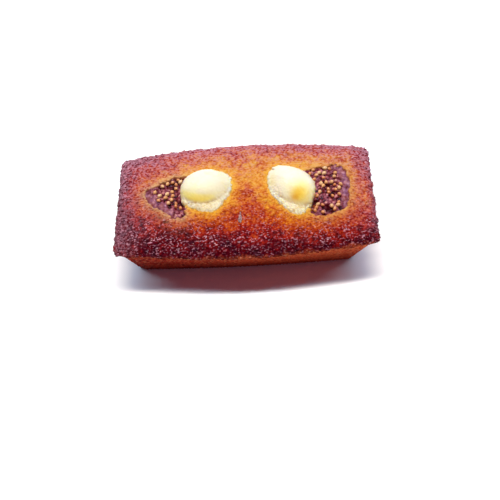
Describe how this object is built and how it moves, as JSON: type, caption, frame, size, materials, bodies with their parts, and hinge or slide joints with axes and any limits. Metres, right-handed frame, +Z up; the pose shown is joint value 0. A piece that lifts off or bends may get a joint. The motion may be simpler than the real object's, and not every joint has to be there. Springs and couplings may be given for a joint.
{
  "type": "financier cake",
  "caption": "Small almond bar cake with tapered sides and a browned crust, topped with cut fig and dollops of cream cheese baked in.",
  "frame": {"origin": "middle of the flat base, on the surface that the cake stands on", "axes": "+X along the bar, +Y across it, away from the side that the picture shows, +Z up"},
  "size_m": [0.0963, 0.0526, 0.0291],
  "materials": {
    "crust": "browned crumbly crust",
    "cream_cheese": "soft satin",
    "fig": "moist pulp with seeds"
  },
  "bodies": {
    "root": {"cake": "crust", "cream_left": "cream_cheese", "cream_right": "cream_cheese", "fig_left": "fig", "fig_right": "fig"}
  },
  "joints": []
}
